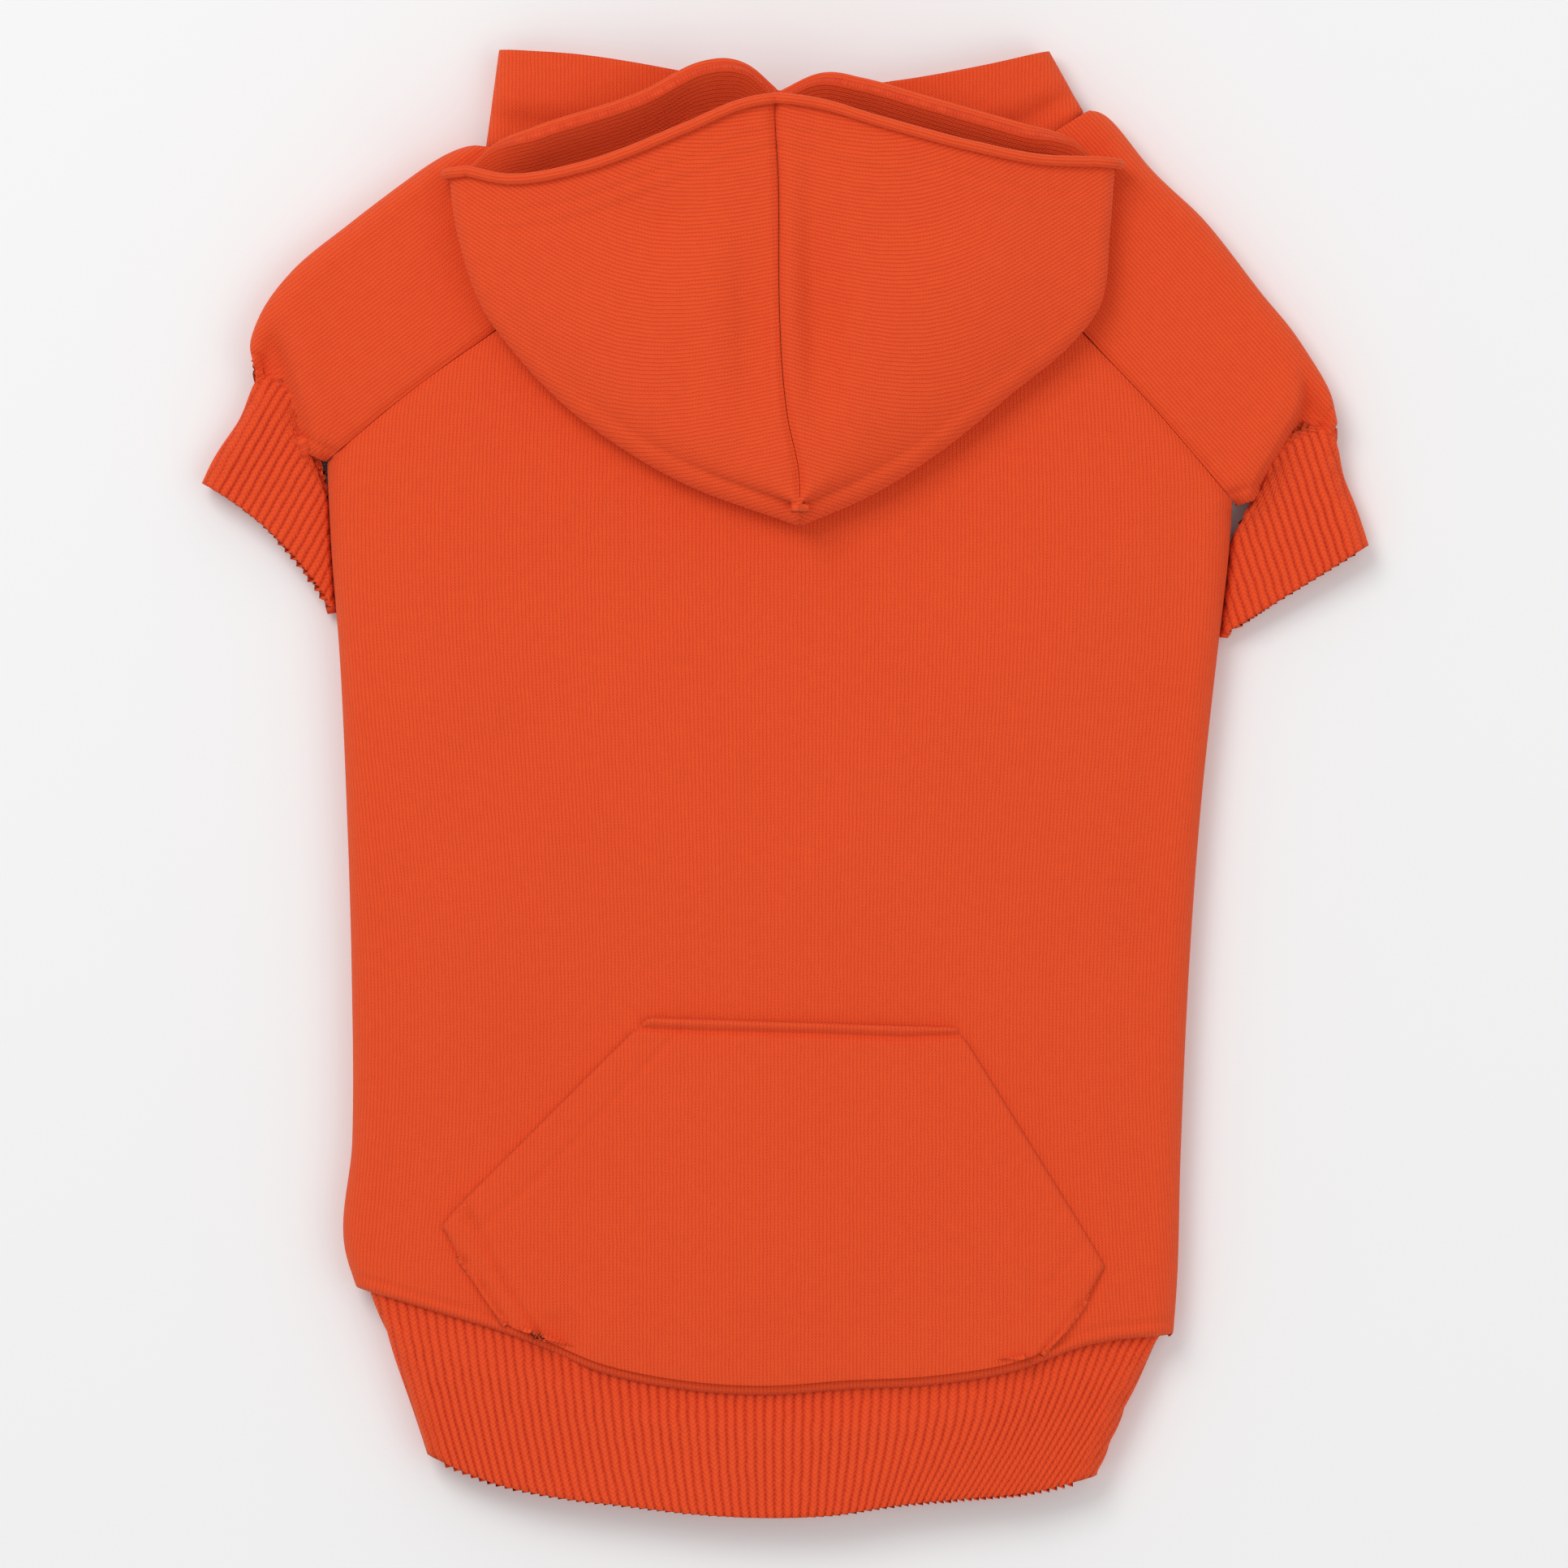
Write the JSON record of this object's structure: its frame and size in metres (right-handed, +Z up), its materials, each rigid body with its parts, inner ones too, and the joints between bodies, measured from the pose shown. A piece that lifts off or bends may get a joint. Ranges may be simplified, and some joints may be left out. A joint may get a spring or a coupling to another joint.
{
  "type": "dog hoodie",
  "caption": "Small dog's fleece hoodie lying flat with its back up: folded hood on the back, raglan sleeves, ribbed cuffs and hem band, and a kangaroo pocket.",
  "frame": {"origin": "middle of the outline, on the surface that the hoodie lies on", "axes": "+Y from the hem towards the neck, +Z up out of the back, +X towards the right of the picture"},
  "size_m": [0.2658, 0.3334, 0.033],
  "materials": {
    "fleece": "matte",
    "rib": "matte"
  },
  "bodies": {
    "root": {"back_panel": "fleece", "belly_panel": "fleece", "left_sleeve": "fleece", "right_sleeve": "fleece", "hood_left": "fleece", "hood_right": "fleece", "neck_band": "fleece", "pocket": "fleece", "left_cuff": "rib", "right_cuff": "rib", "hem_band": "rib"}
  },
  "joints": []
}
